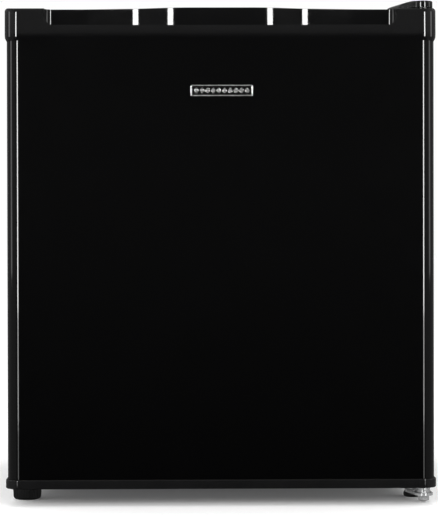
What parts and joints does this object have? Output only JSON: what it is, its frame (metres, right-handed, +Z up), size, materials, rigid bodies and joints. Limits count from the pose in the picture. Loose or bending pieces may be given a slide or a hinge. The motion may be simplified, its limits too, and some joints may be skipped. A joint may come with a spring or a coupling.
{
  "type": "mini fridge",
  "caption": "Compact black cube refrigerator with a hinged insulated door, ice box with flap, slide-out shelf and drip tray, lift-off door racks, thermostat and rear compressor.",
  "frame": {"origin": "on the floor, under the middle of the whole appliance's bounding box", "axes": "+Z up, door front faces -Y, door hinge on the +X side"},
  "size_m": [0.4414, 0.47, 0.517],
  "materials": {
    "black_gloss_abs": "high-gloss moulded ABS",
    "black_painted_steel": "gloss enamel on sheet steel",
    "black_satin_steel": "satin enamel",
    "black_plastic": "fine-grained moulding",
    "white_plastic": "vacuum-formed or moulded polystyrene",
    "clear_plastic": "clear moulded polystyrene",
    "foam": "rigid polyurethane foam",
    "galvanised_steel": "galvanised",
    "zinc_steel": "bright zinc plate",
    "aluminium": "roll-bonded sheet, satin",
    "copper": "drawn copper, slightly dull",
    "rubber": "matte",
    "glass": "toughened float glass",
    "badge_metal": "fine-brushed with a bright edge"
  },
  "bodies": {
    "cabinet": {"top_hinge_cover": "black_gloss_abs", "cabinet_wrap": "black_painted_steel", "compressor_shell": "black_satin_steel", "condenser_tube": "black_satin_steel", "condenser_wires": "black_satin_steel", "compressor_relay_cover": "black_plastic", "hinge_blank_cap": "black_plastic", "foot_rear_left": "black_plastic", "foot_rear_right": "black_plastic", "cord_gland": "black_plastic", "inner_liner": "white_plastic", "freezer_frame": "white_plastic", "evaporator_hanger_1": "white_plastic", "evaporator_hanger_2": "white_plastic", "thermostat_housing": "white_plastic", "foam_insulation": "foam", "back_panel": "galvanised_steel", "bottom_panel": "galvanised_steel", "front_rail": "galvanised_steel", "compressor_base": "galvanised_steel", "condenser_bracket_1": "galvanised_steel", "condenser_bracket_2": "galvanised_steel", "thermostat_switch": "galvanised_steel", "top_hinge_bracket": "zinc_steel", "top_hinge_pin": "zinc_steel", "top_hinge_screw_1": "zinc_steel", "top_hinge_screw_2": "zinc_steel", "bottom_hinge_bracket": "zinc_steel", "bottom_hinge_pin": "zinc_steel", "bottom_hinge_nut": "zinc_steel", "bottom_hinge_screw_1": "zinc_steel", "bottom_hinge_screw_2": "zinc_steel", "evaporator": "aluminium", "suction_line": "copper", "capillary_tube": "copper", "filter_drier": "copper", "thermostat_sensor": "copper", "compressor_grommet_1": "rubber", "compressor_grommet_2": "rubber", "compressor_grommet_3": "rubber", "compressor_grommet_4": "rubber"},
    "door": {"door_top_cap": "black_gloss_abs", "door_bottom_cap": "black_gloss_abs", "door_skin": "black_painted_steel", "door_liner": "white_plastic", "door_foam": "foam", "door_gasket": "rubber", "door_badge": "badge_metal", "door_bush_top": "white_plastic", "door_bush_bottom": "white_plastic", "door_hole_plug": "black_plastic"},
    "upper_rack": {"upper_rack": "clear_plastic"},
    "lower_rack": {"lower_rack": "clear_plastic"},
    "ice_box_flap": {"freezer_flap": "clear_plastic"},
    "drip_tray": {"drip_tray": "clear_plastic"},
    "shelf": {"shelf_glass": "glass", "shelf_trim_front": "white_plastic"},
    "thermostat_knob": {"thermostat_knob": "white_plastic"},
    "front_left_foot": {"foot_front_left": "black_plastic"},
    "front_right_foot": {"foot_front_right": "black_plastic"}
  },
  "joints": [
    {"name": "door_hinge", "type": "hinge", "parent": "cabinet", "child": "door", "pos_m": [0.209, -0.211, 0.26], "axis": [0, 0, 1], "range_deg": [0, 125]},
    {"name": "upper_rack_lift", "type": "slide", "parent": "door", "child": "upper_rack", "axis": [0, 0, 1], "range_m": [0, 0.02]},
    {"name": "lower_rack_lift", "type": "slide", "parent": "door", "child": "lower_rack", "axis": [0, 0, 1], "range_m": [0, 0.02]},
    {"name": "ice_box_flap_hinge", "type": "hinge", "parent": "cabinet", "child": "ice_box_flap", "pos_m": [-0.022, -0.0865, 0.469], "axis": [-1, 0, 0], "range_deg": [0, 90]},
    {"name": "drip_tray_slide", "type": "slide", "parent": "cabinet", "child": "drip_tray", "axis": [0, -1, 0], "range_m": [0, 0.07]},
    {"name": "shelf_slide", "type": "slide", "parent": "cabinet", "child": "shelf", "axis": [0, -1, 0], "range_m": [0, 0.04]},
    {"name": "thermostat_turn", "type": "hinge", "parent": "cabinet", "child": "thermostat_knob", "pos_m": [0.162, -0.05, 0.436], "axis": [0, 1, 0], "range_deg": [0, 300]},
    {"name": "front_left_foot_turn", "type": "hinge", "parent": "cabinet", "child": "front_left_foot", "pos_m": [-0.2035, -0.167, 0.01], "axis": [0, 0, 1], "continuous": true},
    {"name": "front_right_foot_turn", "type": "hinge", "parent": "cabinet", "child": "front_right_foot", "pos_m": [0.204, -0.158, 0.01], "axis": [0, 0, 1], "continuous": true}
  ]
}
